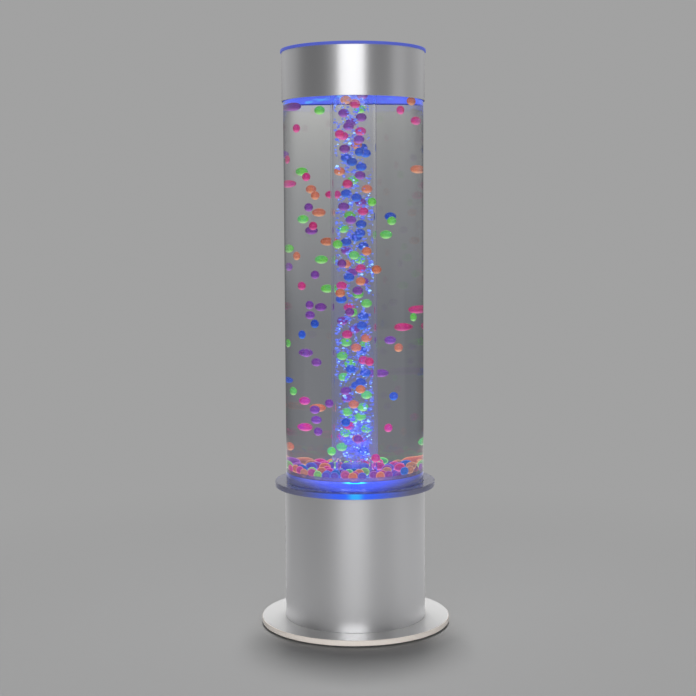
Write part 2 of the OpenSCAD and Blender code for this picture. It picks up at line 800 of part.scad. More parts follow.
module heat_sink() {
    fin_r = sink_d / 2 - 16;
    fins = floor(fin_r / fin_pitch);
    color("darkgray") difference() {
        union() {
            translate([0, 0, sink_z]) cylinder(d = sink_d, h = sink_t);
            intersection() {
                translate([0, 0, sink_z - fin_h]) cylinder(r = fin_r, h = fin_h + cut);
                for (i = [-fins : fins]) translate([i * fin_pitch - fin_t / 2, -fin_r, sink_z - fin_h])
                    cube([fin_t, 2 * fin_r, fin_h + 1]);
            }
        }
        translate([0, 0, sink_z - fin_h - cut]) cylinder(r = board_hole, h = fin_h + sink_t + 2 * cut);
        translate([light_lead_x, light_lead_y, sink_z - fin_h - cut])
            cylinder(d = lead_d + 5, h = fin_h + sink_t + 2 * cut, $fn = 48);
        at_ring(flange_screw_count, sink_screw_r, sink_turn) translate([0, 0, sink_z - cut])
            cylinder(d = small_screw_d + 2 * screw_gap, h = sink_t + 2 * cut, $fn = 48);
    }
}

module sink_screws() {
    color("silver") at_ring(flange_screw_count, sink_screw_r, sink_turn)
        translate([0, 0, sink_z]) pan_screw(small_screw_d, sink_t + sink_screw_in);
}

// ---- Electrics ---------------------------------------------------------------------------

pcb_t = 1.6;
pcb_y = pcb_gap + pcb_w / 2;
pcb_z = plate_top + post_h;
pcb_top = pcb_z + pcb_t;
plug_h = 8;
plug_side = 7;
power_plug = [pcb_l * 0.32, pcb_gap + pcb_w - 8];
switch_plug = [-pcb_l * 0.1, pcb_gap + pcb_w - 8];
light_plug = [-pcb_l / 2 + 8, pcb_gap + 6];
pump_plug = [pcb_l / 2 - 8, pcb_gap + 6];

module board_posts() {
    color("silver") for (i = [-1, 1], j = [-1, 1])
        translate([i * (pcb_l / 2 - 4), pcb_y + j * (pcb_w / 2 - 4), plate_top])
            cylinder(d = 6, h = post_h, $fn = 6);
}

module control_board() {
    color("darkgreen") translate([0, pcb_y, pcb_z]) round_box(pcb_l, pcb_w, pcb_t, 2);
}

// Plugs for the four leads, two smoothing capacitors, a coil and the control chip
module board_parts() {
    color("dimgray") {
        for (p = [power_plug, switch_plug, light_plug, pump_plug])
            translate([p[0] - plug_side / 2, p[1] - plug_side / 2, pcb_top])
                cube([plug_side, plug_side, plug_h]);
        for (share = [-0.26, -0.05]) translate([share * pcb_l, pcb_gap + 0.48 * pcb_w, pcb_top])
            cylinder(d = 9, h = 14, $fn = 48);
        translate([8, pcb_y - 6, pcb_top]) cube([11, 8, 1.8]);
        translate([6, pcb_gap + 5, pcb_top]) cylinder(d = 7, h = 5, $fn = 48);
    }
}

jack_level = plate_top + jack_z;
switch_level = jack_level + switch_rise;

// Puts a piece on the housing's back, with its own +Z pointing out and +Y up
module at_back(level) {
    translate([0, housing_d / 2, level]) rotate([90, 0, 180]) children();
}

jack_rim = 2;
jack_deep = 16;
jack_tail = 4;
jack_bore = 5.7;
jack_pin = 2.1;

module power_inlet() {
    color("black") at_back(jack_level) difference() {
        union() {
            cylinder(d = jack_d + 3, h = jack_rim, $fn = 64);
            translate([0, 0, -jack_deep]) cylinder(d = jack_d, h = jack_deep, $fn = 64);
            translate([0, 0, -jack_deep - jack_tail]) cylinder(d = lead_d + 2, h = jack_tail, $fn = 32);
        }
        difference() {
            translate([0, 0, jack_rim - 10]) cylinder(d = jack_bore, h = 10 + cut, $fn = 48);
            translate([0, 0, jack_rim - 10 - cut]) cylinder(d = jack_pin, h = 10, $fn = 24);
        }
    }
}

// The nut bears on the housing's curved inner wall with its corners
module inlet_lock_nut() {
    nut_r = jack_d / 2 + 2.5;
    depth = housing_d / 2 - sqrt(housing_in * housing_in - nut_r * nut_r);
    color("silver") at_back(jack_level) translate([0, 0, -depth - 2.5]) difference() {
        cylinder(r = nut_r, h = 2.5, $fn = 6);
        translate([0, 0, -cut]) cylinder(d = jack_d + 2 * screw_gap, h = 2.5 + 2 * cut, $fn = 64);
    }
}

bezel_t = 2;
switch_in_h = switch_h - 2;
switch_in_w = switch_w - 2;
switch_deep = 14;
rocker_w = switch_in_w - 3;
rocker_r = switch_in_h / 2 - 1.5;
rocker_pivot = -2;
rocker_front = 3;
rocker_back = 1.5;
pin_r = 1;
pin_out = 0.9;
well_deep = 4.5;

// Frame of the switch with the well that the rocker leans in
module switch_frame() {
    well = [rocker_w + 0.8, 2 * rocker_r + 0.8];
    color("black") at_back(switch_level) difference() {
        union() {
            translate([-switch_w / 2, -switch_h / 2, 0]) cube([switch_w, switch_h, bezel_t]);
            translate([-switch_in_w / 2, -switch_in_h / 2, -switch_deep])
                cube([switch_in_w, switch_in_h, switch_deep]);
            translate([0, 0, -switch_deep - jack_tail]) cylinder(d = lead_d + 2, h = jack_tail, $fn = 32);
        }
        translate([-well[0] / 2, -well[1] / 2, rocker_pivot - well_deep])
            cube([well[0], well[1], well_deep + bezel_t - rocker_pivot + cut]);
        translate([-rocker_w / 2 - pin_out - 0.15, 0, rocker_pivot]) rotate([0, 90, 0])
            cylinder(r = pin_r + pivot_gap, h = rocker_w + 2 * pin_out + 0.3, $fn = 32);
    }
}

// The rocker's face is a shallow vee, so that one half lies flush while the other stands out
module switch_rocker() {
    color("black") at_back(switch_level) translate([0, 0, rocker_pivot]) rotate([rocker_lean, 0, 0]) {
        intersection() {
            translate([-rocker_w / 2, 0, 0]) rotate([0, 90, 0])
                cylinder(r = rocker_r, h = rocker_w, $fn = 64);
            translate([-rocker_w / 2, 0, 0]) rotate([90, 0, 90]) linear_extrude(rocker_w) polygon([
                [-rocker_r, -rocker_back], [rocker_r, -rocker_back],
                [rocker_r, rocker_front + rocker_r * tan(rocker_lean)], [0, rocker_front],
                [-rocker_r, rocker_front + rocker_r * tan(rocker_lean)]
            ]);
        }
        translate([-rocker_w / 2 - pin_out, 0, 0]) rotate([0, 90, 0])
            cylinder(r = pin_r, h = rocker_w + 2 * pin_out, $fn = 32);
    }
}

// The leads run free from a plug on the control board to the piece that they feed
plug_top = pcb_top + plug_h;

// A lead that leaves its plug upwards and comes to its end from the side that back points to.
// rise and run are how far it keeps those two ways, as shares of the distance.
module lead(plug, end, back, rise, run, aside, rings = 20) {
    start = [plug[0], plug[1], plug_top];
    far = norm(end - start);
    color("crimson")
        swept([start, start + [0, 0, rise * far], end + run * far * back, end], lead_d, aside, rings);
}

module power_lead() {
    lead(power_plug, [0, housing_d / 2 - jack_deep - jack_tail, jack_level],
        [0, -1, 0], 0.4, 0.4, [1, 0.2, 0]);
}

module switch_lead() {
    lead(switch_plug, [0, housing_d / 2 - switch_deep - jack_tail, switch_level],
        [0, -1, 0], 0.48, 0.35, [1, 0, 0]);
}

module light_lead() {
    lead(light_plug, [light_lead_x, light_lead_y, board_z], [0, 0, -1], 0.36, 0.42, [0, 1, 0], 28);
}

module pump_lead() {
    lead(pump_plug, [pump_l / 2 - 20, -pump_gap, pump_z + pump_case_h * 0.5],
        [0, 1, 0], 0.28, 0.28, [1, 0, 0]);
}

// ---- Cap ---------------------------------------------------------------------------------

module cap_sleeve() {
    color("silver") translate([0, 0, cap_z]) rotate_extrude($fn = 180) polygon([
        [cap_in, 0], [cap_d / 2 - sleeve_edge, 0], [cap_d / 2, sleeve_edge], [cap_d / 2, cap_h],
        [cap_in, cap_h]
    ]);
}

module lid_disc() {
    color("royalblue", 0.8) translate([0, 0, cap_top]) plate_ring(cap_d / 2 + lid_over, 0, lid_t, 0.4);
}

// A ring inside the cap that rests on the rim pads, with a skirt that centres it in the column
module cap_collar() {
    skirt_gap = 1;
    skirt_t = 1.5;
    skirt_l = 10;
    skirt_r = tube_in - skirt_gap;
    color("gainsboro") {
        translate([0, 0, collar_z]) pipe(cap_in - bond_gap, cap_in - collar_w, collar_t);
        translate([0, 0, collar_z - skirt_l]) pipe(skirt_r, skirt_r - skirt_t, skirt_l);
    }
}

// The gaps between the pads let the air out over the rim
module rim_pads() {
    pad_angle = 30;
    color("dimgray") at_ring(pad_count, 0, pad_angle / 2) translate([0, 0, tube_top])
        rotate_extrude(angle = pad_angle, $fn = 120)
            translate([tube_in + 0.8, 0]) square([tube_wall - 1.6, pad_t]);
}

rubber_feet();
base_plate();
plate_screws();
bottom_ring();
frame_pillars();
housing_sleeve();
top_ring();
ring_screws();
flange_screws();
clear_flange();
floor_disc();
floor_seal();
water_column();
riser_foot();
riser_tube();
riser_spider();
air_inlet();
inlet_seals();
inlet_nut();
bubble_head();
light_board();
lamp_chips();
lamp_lenses();
heat_sink();
sink_screws();
pump_feet();
pump_case();
pump_cover();
pump_outlet();
pump_strap();
strap_screws();
lower_hose();
check_valve();
upper_hose();
control_board();
board_posts();
board_parts();
power_inlet();
inlet_lock_nut();
switch_frame();
switch_rocker();
power_lead();
switch_lead();
light_lead();
pump_lead();
green_beads();
pink_beads();
blue_beads();
purple_beads();
orange_beads();
cap_sleeve();
lid_disc();
cap_collar();
rim_pads();
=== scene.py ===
import json
import math
import random

import bmesh
import bpy
from mathutils import Matrix, Vector
from mathutils.bvhtree import BVHTree

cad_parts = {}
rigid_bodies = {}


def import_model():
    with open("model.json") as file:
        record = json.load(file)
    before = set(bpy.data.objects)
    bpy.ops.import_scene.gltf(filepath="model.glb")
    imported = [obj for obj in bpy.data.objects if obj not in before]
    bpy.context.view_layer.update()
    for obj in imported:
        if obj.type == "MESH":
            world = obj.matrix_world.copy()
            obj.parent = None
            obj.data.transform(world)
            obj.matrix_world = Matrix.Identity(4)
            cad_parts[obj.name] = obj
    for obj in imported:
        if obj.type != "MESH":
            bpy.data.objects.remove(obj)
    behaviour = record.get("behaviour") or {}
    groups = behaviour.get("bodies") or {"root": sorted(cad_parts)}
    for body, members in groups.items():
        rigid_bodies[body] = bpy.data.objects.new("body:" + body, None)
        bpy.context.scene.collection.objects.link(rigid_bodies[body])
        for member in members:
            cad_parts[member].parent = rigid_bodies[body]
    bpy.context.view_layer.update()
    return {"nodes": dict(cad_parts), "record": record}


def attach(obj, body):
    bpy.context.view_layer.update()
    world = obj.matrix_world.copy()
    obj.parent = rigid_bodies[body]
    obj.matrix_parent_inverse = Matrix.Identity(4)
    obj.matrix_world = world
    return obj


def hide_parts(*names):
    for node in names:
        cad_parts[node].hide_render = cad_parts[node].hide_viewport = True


# What Blender opens with goes before the frame comes in.
for left_over in list(bpy.data.objects):
    bpy.data.objects.remove(left_over)

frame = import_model()

MM = 0.001

# ---- What the frame says about the round parts ----


class Round:
    """A round node's inner and outer radius, and its lowest and highest level."""

    def __init__(self, node):
        points = [v.co for v in frame["nodes"][node].data.vertices]
        reach = [p.xy.length for p in points]
        self.inner, self.outer = min(reach), max(reach)
        self.low, self.high = min(p.z for p in points), max(p.z for p in points)


PLATE = Round("base_plate")
FLANGE = Round("clear_flange")
FLOOR_DISC = Round("floor_disc")
TUBE = Round("water_column")
RISER = Round("riser_tube")
HEAD = Round("bubble_head")
CAP = Round("cap_sleeve")
LID = Round("lid_disc")

BEAD_NODES = ("green_beads", "pink_beads", "blue_beads", "purple_beads", "orange_beads")

# ---- Water and bubbles ----

ROUND_STEPS = 256          # faces round the clear pieces, so that no flat shows through them
WELD = 0.3 * MM            # how far water and glued acrylic run into what they touch
WATER_TOP = TUBE.high - 14.5 * MM
BUBBLE_COUNT = 3000
BUBBLE_SEED = 11
BUBBLE_SMALL, BUBBLE_LARGE = 0.65 * MM, 2.1 * MM   # radii
BUBBLE_CLEAR = 0.25 * MM   # water left between a bubble and a bead or wall
BUBBLE_STEP = 2.0 * MM     # from one bubble of a string to the next
CHURN = 60 * MM            # height over the head in which the air is thickest
CHURN_SHARE = 0.32         # of the strings start in it
STRING_SHORTEST, STRING_LONGEST = 3, 18            # bubbles in a string
SWAY, SWIRL = 1.2 * MM, 0.16                       # a string's wander out or in and round, by bubble
BALL_RINGS, BALL_STEPS = 6, 10                     # faces of a bubble

# ---- Bending of light, each against what is around it, and beads and bubbles in mirror images ----

ACRYLIC_IOR = 1.49
WATER_IOR = 1.33
RISER_IOR = ACRYLIC_IOR / WATER_IOR
BEAD_IOR = 1.12
PLATE_IOR = 2.0            # more than acrylic's, for the deep gloss of the polished sheet
MIRROR_DIM = 0.5           # how much of their glow is taken off there

# ---- Studio ----

CAMERA_PLACE = (-0.0083, -1.9915, 0.5772)
CAMERA_DROP = math.radians(5.011)      # how far it looks below the level
CAMERA_TURN = math.radians(0.026)
CAMERA_ROLL = math.radians(-0.30)
LENS, SENSOR = 71.37, 36.0
BACKDROP = 0.36                        # grey of the world and the far floor
AMBIENT = 0.12                         # how much light comes from all round
FLOOR_GREY = 0.385
FLOOR_RADIUS, FLOOR_STEPS = 6.0, 96
FLOOR_NEAR, FLOOR_FAR = 0.45, 1.1      # between these the lit floor turns into the backdrop's grey

# What clear pieces and metal show isn't the backdrop's grey: it is painted light, shade and reflection. It
# was fitted to the front view.
# Clear pieces have painted greys for their left and right halves, high up and down at the floor, and painted
# dark shade for their edges.
HIGH_LEFT, HIGH_RIGHT = (0.515, 0.505, 0.485), (0.330, 0.327, 0.320)
LOW_LEFT, LOW_RIGHT = (0.188, 0.190, 0.202), (0.160, 0.164, 0.178)
THROUGH_EDGE = (0.075, 0.075, 0.080)
FLOOR_LINE = -0.072                    # z of the camera's ray to the floor's far edge
LIFT_RATE = 6.5                        # how fast the clear pieces' greys change above that line

# Metal shows painted reflections: greys for the room, its dark flags, its far side, its pale panel and the
# floor, which only mirror rays see.
MIRROR_SIDE, MIRROR_FLAG, MIRROR_BACK, MIRROR_PANEL = 0.42, 0.13, 0.13, 0.62
MIRROR_FLOOR_LEFT, MIRROR_FLOOR_RIGHT = 0.36, 0.51
LEFT_FLAG, RIGHT_FLAG = (66, 40), (-43, 30)        # azimuth and half width in degrees


def paint(red, green, blue):
    """The linear colour of an 8-bit screen colour."""
    shares = (red / 255, green / 255, blue / 255)
    return tuple(s / 12.92 if s <= 0.04045 else ((s + 0.055) / 1.055) ** 2.4 for s in shares)


# ---- Shader maths ----


class Value:
    """A socket of a finish. Python's operators on it add Math nodes."""

    def __init__(self, finish, socket):
        self.finish, self.socket = finish, socket

    def maths(self, operation, *others):
        inputs = dict(enumerate((self, *others)))
        return self.finish.node("ShaderNodeMath", {"operation": operation}, inputs)

    def __add__(self, other):
        return self.maths("ADD", other)

    def __sub__(self, other):
        return self.maths("SUBTRACT", other)

    def __rsub__(self, other):
        return self.finish.node("ShaderNodeMath", {"operation": "SUBTRACT"}, {0: other, 1: self})

    def __mul__(self, other):
        return self.maths("MULTIPLY", other)

    def __truediv__(self, other):
        return self.maths("DIVIDE", other)

    def __pow__(self, other):
        return self.maths("POWER", other)

    def __lt__(self, other):
        return self.maths("LESS_THAN", other)

    def __gt__(self, other):
        return self.maths("GREATER_THAN", other)

    __radd__, __rmul__ = __add__, __mul__

    def most(self, other):
        return self.maths("MAXIMUM", other)

    def least(self, other):
        return self.maths("MINIMUM", other)

    def rise(self, start, end):
        """0 before start, 1 after end, and smooth between them."""
        ends = {"Value": self, "From Min": start, "From Max": end}
        return self.finish.node("ShaderNodeMapRange", {"interpolation_type": "SMOOTHSTEP"}, ends)


class Finish:
    """One material, or the world, and what its nodes are made of."""

    def __init__(self, name, owner=None):
        self.material = owner or bpy.data.materials.new(name)
        self.material.use_nodes = True
        self.tree = self.material.node_tree
        self.tree.nodes.clear()

    def node(self, kind, settings=None, sockets=None, out=0):
        """Adds a node: its settings first, then its sockets' values or links."""
        made = self.tree.nodes.new(kind)
        for name, setting in (settings or {}).items():
            setattr(made, name, setting)
        for name, value in (sockets or {}).items():
            self.feed(made.inputs[name], value)
        return Value(self, made.outputs[out])

    def feed(self, socket, value):
        if isinstance(value, Value):
            self.tree.links.new(value.socket, socket)
        elif isinstance(value, tuple) and socket.type == "RGBA":
            socket.default_value = (*value, 1.0)
        else:
            socket.default_value = value

    def place(self):
        """Where the point is, in the frame's own metres."""
        return self.node("ShaderNodeTexCoord", out="Object")

    def axes(self, vector=None):
        """The three numbers of a vector, or of where the point is."""
        parts = self.node("ShaderNodeSeparateXYZ", sockets={0: vector or self.place()}).socket.node
        return [Value(self, parts.outputs[i]) for i in range(3)]

    def ray(self, kind):
        """1 for rays of that kind, such as Shadow or Camera, and 0 for others."""
        path = self.node("ShaderNodeLightPath").socket.node
        return Value(self, path.outputs[f"Is {kind} Ray"])

    def mirrored(self):
        """1 for what is seen in a mirror image, and 0 for what is seen straight or through glass."""
        path = self.node("ShaderNodeLightPath").socket.node
        return Value(self, path.outputs["Glossy Depth"]).least(1.0)

    def radius(self):
        """How far the point is from the lamp's upright axis."""
        x, y, _ = self.axes()
        return (x * x + y * y) ** 0.5

    def height(self):
        return self.axes()[2]

    def noise(self, scale, detail=2.0, stretch=(1, 1, 1)):
        """Cloudy noise from 0 to 1. Scale is in waves for each metre, and stretch changes it by axis."""
        place = self.node("ShaderNodeVectorMath", {"operation": "MULTIPLY"}, {0: self.place(), 1: stretch})
        return self.node("ShaderNodeTexNoise", sockets={"Vector": place, "Scale": scale, "Detail": detail})

    def mix(self, share, first, second):
        """Colour between first and second."""
        return self.node("ShaderNodeMix", {"data_type": "RGBA"}, {0: share, 6: first, 7: second}, out=2)

    def scaled(self, colour, share):
        """A colour times a value."""
        return self.mix(share, (0.0, 0.0, 0.0), colour)

    def bump(self, height, depth, strength):
        sockets = {"Strength": strength, "Distance": depth, "Height": height}
        return self.node("ShaderNodeBump", sockets=sockets)

    def surface(self, **sockets):
        """A Principled shader. A socket's name is written with underscores."""
        named = {name.replace("_", " "): value for name, value in sockets.items()}
        return self.node("ShaderNodeBsdfPrincipled", sockets=named)

    def blend_shaders(self, share, first, second):
        return self.node("ShaderNodeMixShader", sockets={0: share, 1: first, 2: second})

    def clear_to_lamps(self, shader):
        """The shader, which lets the lamps' light through without a dark shadow."""
        return self.blend_shaders(self.ray("Shadow"), shader, self.node("ShaderNodeBsdfTransparent"))

    def done(self, shader, kind="Material"):
        """Ties the shader to the output, and gives what the finish is for."""
        last = self.tree.nodes.new("ShaderNodeOutput" + kind)
        self.feed(last.inputs["Surface"], shader)
        return self.material


# ---- Finishes of the metal and the plates ----

# Colours of the lamps' blue light. On the lamps' own lens they are its glow; on other parts they are painted
# light.
GLOW_BLUE = paint(92, 112, 238)
DEEP_BLUE = paint(24, 70, 248)
CYAN = (0.0, 0.62, 1.0)
CLEAR_TINT = (0.975, 0.985, 0.99)      # clear plastic seen straight on
CLEAR_EDGE_SHADE = (0.52, 0.52, 0.54)        # and edge on: painted shade


def satin(finish, blue_light_share=0.0, spread=0.8, **more):
    """Rolled metal sheet. Its fine lines run round the lamp, so that a highlight spreads up and down."""
    lines = finish.noise(60, 3.0, stretch=(0.2, 0.2, 40))
    cloud = finish.noise(9, 2.0)
    shade = finish.mix(cloud * 0.4 + lines * 0.2, (0.80, 0.80, 0.815), (0.75, 0.75, 0.765))
    # This mix turns the colour blue where the lamps' blue light falls: painted light.
    shade = finish.mix(blue_light_share, shade, (0.06, 0.09, 0.55))
    normal = finish.bump(lines, 0.01 * MM, 0.1)
    return finish.surface(Base_Color=shade, Metallic=1.0, Roughness=0.36 + 0.03 * lines, Normal=normal,
                          Anisotropic=spread, Anisotropic_Rotation=0.25, **more)


def satin_metal():
    finish = Finish("satin_metal")
    return finish.done(satin(finish, spread=0.5))


def cap_metal():
    """The cap's satin metal. The lamps' blue light is painted on its inner wall: a blue colour, a glow
    strongest near its lower edge, and paler cyan sparks.
    """
    finish = Finish("cap_metal")
    inside = finish.radius() < CAP.outer - 0.9 * MM
    height = finish.height()
    fade = height.rise(CAP.low + 0.5 * MM, CAP.low + 3 * MM) * (1 - height.rise(CAP.low, CAP.high))
    # Painted light: patches of paler cyan in the blue glow.
    painted_cyan_sparks = finish.noise(75, 2.0, stretch=(1, 1, 1.6)).rise(0.58, 0.68)
    glow = finish.mix(painted_cyan_sparks, GLOW_BLUE, paint(96, 178, 252))
    level = 0.80 + 0.35 * finish.noise(45, 3.0)
    return finish.done(satin(finish, blue_light_share=inside, Emission_Color=finish.scaled(glow, inside * fade * level),
                             Emission_Strength=1.0))


def plain_aluminium():
    """Milled aluminium, duller than the sleeves."""
    finish = Finish("plain_aluminium")
    swirl = finish.noise(300, 3.0)
    return finish.done(finish.surface(Base_Color=finish.mix(swirl, (0.60, 0.61, 0.62), (0.70, 0.70, 0.71)),
                                      Metallic=1.0, Roughness=0.32 + 0.15 * swirl))


def steel():
    finish = Finish("steel")
    wear = finish.noise(700, 3.0)
    return finish.done(finish.surface(Base_Color=finish.mix(wear, (0.50, 0.50, 0.51), (0.66, 0.66, 0.66)),
                                      Metallic=1.0, Roughness=0.2 + 0.2 * wear))


def brass():
    finish = Finish("brass")
    wear = finish.noise(500, 3.0)
    return finish.done(finish.surface(Base_Color=finish.mix(wear, (0.62, 0.42, 0.16), (0.75, 0.55, 0.26)),
                                      Metallic=1.0, Roughness=0.22 + 0.2 * wear))


def lit_brass():
    """The inlet's stem. Where it runs through the clear sheets, the lamps' blue light is painted on it as a
    blue colour and a glow.
    """
    finish = Finish("lit_brass")
    wear = finish.noise(500, 3.0)
    height = finish.height()
    above = height.rise(FLANGE.high + 6 * MM, FLANGE.high + 14 * MM)
    lit = height.rise(FLANGE.low, FLANGE.low + 2 * MM) * (1 - above)
    # Painted light: blue colour, less metal and a glow where the stem passes through the lit sheets.
    shade = finish.mix(lit, (0.68, 0.48, 0.20), (0.08, 0.09, 0.5))
    glow = finish.mix(wear, paint(70, 84, 230), paint(96, 120, 250))
    return finish.done(finish.surface(Base_Color=shade, Metallic=1 - 0.8 * lit, Roughness=0.22 + 0.2 * wear,
                                      Emission_Color=finish.scaled(glow, lit), Emission_Strength=0.9))


def white_acrylic():
    """Polished white sheet with a sawn and flamed edge, a little warmer than its face."""
    finish = Finish("white_acrylic")
    edge = finish.radius() > PLATE.outer - 0.8 * MM
    saw = finish.noise(700, 2.0, stretch=(1, 1, 0.15))
    ripple = finish.noise(14, 1.0)
    face = finish.mix(ripple * 0.3, (0.80, 0.795, 0.79), (0.77, 0.765, 0.76))
    side = finish.mix(saw, paint(246, 237, 228), paint(236, 227, 218))
    normal = finish.bump(saw * edge, 0.05 * MM, 0.3)
    return finish.done(finish.surface(Base_Color=finish.mix(edge, face, side), Roughness=0.05 + 0.30 * edge,
                                      Normal=normal, IOR=PLATE_IOR, Coat_Weight=1.0 - edge,
                                      Coat_Roughness=0.03, Coat_IOR=PLATE_IOR))


# ---- Finishes of what is clear ----


def clear_plastic(name="clear_plastic", ior=ACRYLIC_IOR):
    """Polished clear tube with the faintest waviness of casting. It is darker where it is seen edge on:
    painted shade in its colour.
    """
    finish = Finish(name)
    wave = finish.noise(30, 1.0, stretch=(1, 1, 0.25))
    clear = finish.mix(wave, CLEAR_TINT, tuple(c * 0.985 for c in CLEAR_TINT))
    edge = finish.node("ShaderNodeLayerWeight", sockets={"Blend": 0.5}, out="Facing")
    clear = finish.mix(edge.rise(0.50, 0.95), clear, CLEAR_EDGE_SHADE)
    glass = finish.surface(Base_Color=clear, Roughness=0.0, IOR=ior, Transmission_Weight=1.0)
    return finish.done(finish.clear_to_lamps(glass))


def riser_plastic():
    """The riser's clear wall, with a faint painted glow of the lamps' blue light, stronger low down and just
    over the head.
    """
    finish = Finish("riser_plastic")
    low = 1 - finish.height().rise(RISER.low, RISER.high)
    foot = 1 - finish.height().rise(HEAD.high, HEAD.high + 1.3 * CHURN)
    streak = finish.noise(40, 2.0, stretch=(1, 1, 0.2))
    glow = finish.scaled(paint(92, 92, 215), (0.004 + 0.03 * low + 0.07 * foot) * (0.6 + 0.8 * streak))
    tint = finish.mix(streak, (0.955, 0.96, 0.985), (0.98, 0.98, 0.995))
    glass = finish.surface(Base_Color=tint, Roughness=0.0, IOR=RISER_IOR, Transmission_Weight=1.0,
                           Emission_Color=glow, Emission_Strength=1.0)
    return finish.done(finish.clear_to_lamps(glass))


def water():
    finish = Finish("water")
    drift = finish.noise(8, 1.0)
    glass = finish.surface(Base_Color=finish.mix(drift, (0.985, 0.99, 0.995), (0.975, 0.98, 0.99)),
                           Roughness=0.0, IOR=WATER_IOR, Transmission_Weight=1.0)
    return finish.done(finish.clear_to_lamps(glass))


def from_side(x, y):
    """How far a point is from the axis, where its depth counts for less than its way to the side."""
    return (x * x + 0.22 * y * y) ** 0.5


def lit_acrylic(name, level, strength, clear, rim=1.0, milk=0.0):
    """Clear sheet on the lamps. Their light is painted on its underside, at that level, as a glow: cyan on
    the axis, blue round it, reaching further to front and back than to the sides. At the rim's radius it is
    sawn, and so it blurs; there a painted blue glow, cyan in its middle, lies where the rim faces front and
    back. The milky part's colour takes painted blue light too. Milk is how cloudy the whole sheet looks."""
    finish = Finish(name)
    x, y, z = finish.axes()
    under = z < level + 0.3 * MM
    ripple = 8 * MM * (finish.noise(60, 2.0) - 0.5)
    core = 1 - (finish.radius() + ripple * 0.3).rise(8 * MM, 14 * MM)
    out = from_side(x, y) + ripple
    blue = 1 - out.rise(14 * MM, 70 * MM)
    glow = finish.mix(blue, paint(34, 35, 52), DEEP_BLUE)
    glow = finish.mix(core, glow, (0.0, 1.05, 1.75))
    tint = finish.mix(finish.noise(20, 1.0), clear, tuple(c * 1.04 for c in clear))
    sawn = finish.radius().rise(rim - 0.6 * MM, rim - 0.2 * MM)
    glass = finish.surface(Base_Color=tint, Roughness=0.4 * sawn, IOR=ACRYLIC_IOR, Transmission_Weight=1.0,
                           Emission_Color=finish.scaled(glow, under), Emission_Strength=strength * 0.5)
    aside = x.maths("ABSOLUTE")
    in_rim = (1 - aside.rise(15 * MM, 80 * MM)) * sawn
    # Painted glow off the underside: blue near the axis and on the rim where it faces front and back, cyan in
    # the rim's middle.
    painted_rim_glow = finish.mix(blue.most(in_rim) * 0.9, paint(38, 39, 52), DEEP_BLUE)
    painted_rim_glow = finish.mix((1 - aside.rise(2 * MM, 15 * MM)) * sawn * 0.8, painted_rim_glow, CYAN)
    # The milky part's colour: grey-violet, turned blue by painted light in the rim and on the underside.
    cloud = finish.mix(finish.noise(400, 2.0), paint(104, 104, 124), paint(116, 116, 138))
    cloud = finish.mix(in_rim, cloud, paint(40, 90, 150))
    cloud = finish.mix(under, cloud, finish.mix(blue, paint(76, 76, 98), paint(14, 36, 84)))
    milky = finish.surface(Base_Color=cloud, Roughness=0.25, Emission_Color=finish.mix(under, painted_rim_glow, glow),
                           Emission_Strength=strength)
    share = (milk + 0.50 * sawn).most(0.85 * under)
    return finish.done(finish.clear_to_lamps(finish.blend_shaders(share, glass, milky)))


def flange_acrylic():
    return lit_acrylic("flange_acrylic", FLANGE.low, 1.0, (0.76, 0.77, 0.90), FLANGE.outer, 0.16)


def lid_acrylic():
    """Milky lid sheet. A faint painted blue glow of the lamps' light lies over it, stronger in its edge,
    where its colour is also turned dark blue for that light.
    """
    finish = Finish("lid_acrylic")
    edge = finish.radius().rise(LID.outer - 4 * MM, LID.outer - 0.5 * MM)
    cloud = finish.noise(12, 2.0)
    face = finish.mix(cloud, (0.40, 0.43, 0.50), (0.46, 0.49, 0.56))
    glow = finish.mix(edge, paint(18, 22, 54), paint(66, 78, 168))
    shade = finish.mix(edge, face, (0.04, 0.05, 0.16))
    return finish.done(finish.surface(Base_Color=shade, Roughness=0.38 + 0.08 * cloud, Specular_IOR_Level=0.2,
                                      Emission_Color=glow, Emission_Strength=1.0))


def lens_plastic():
    """Lamp lens, bright where the chip shines through it."""
    finish = Finish("lens_plastic")
    hot = 0.7 + 0.5 * finish.noise(300, 1.0)
    shade = finish.mix(hot, (0.4, 0.8, 1.0), (0.7, 0.95, 1.0))
    glow = finish.scaled(CYAN, hot)
    return finish.done(finish.surface(Base_Color=shade, Roughness=0.1, Emission_Color=glow,
                                      Emission_Strength=2.5))


def lamp_yellow():
    """Phosphor of the lamp chips, lit."""
    finish = Finish("lamp_yellow")
    cell = finish.noise(900, 1.0)
    shade = finish.mix(cell, (0.9, 0.7, 0.15), (0.95, 0.8, 0.3))
    return finish.done(finish.surface(Base_Color=shade, Roughness=0.4, Emission_Color=(0.3, 0.6, 1.0),
                                      Emission_Strength=3.0))


# ---- Finishes of beads and bubbles ----


